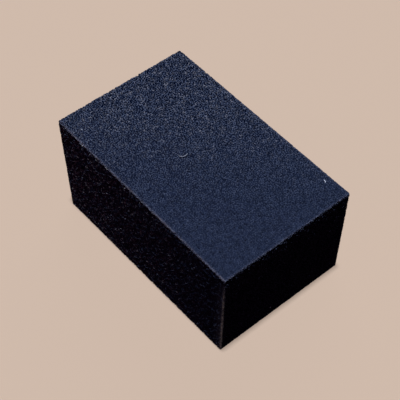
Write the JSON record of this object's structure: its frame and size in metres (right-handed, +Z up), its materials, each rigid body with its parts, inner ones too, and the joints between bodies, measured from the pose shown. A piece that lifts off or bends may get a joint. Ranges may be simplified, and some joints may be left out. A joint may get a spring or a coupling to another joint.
{
  "type": "shoe polishing sponge",
  "caption": "Oblong block of fine-pored black foam, held in the hand to buff and polish shoes. It rests on its flat base.",
  "frame": {"origin": "middle of the base face, on the surface that the block stands on", "axes": "+X along the length towards the thinner end, +Y across the width, +Z up through the thickness"},
  "size_m": [0.08, 0.05, 0.04],
  "materials": {
    "black_foam": "soft matte open-cell foam, black with a blue cast, fine pores all over"
  },
  "bodies": {
    "root": {"foam_block": "black_foam"}
  },
  "joints": []
}
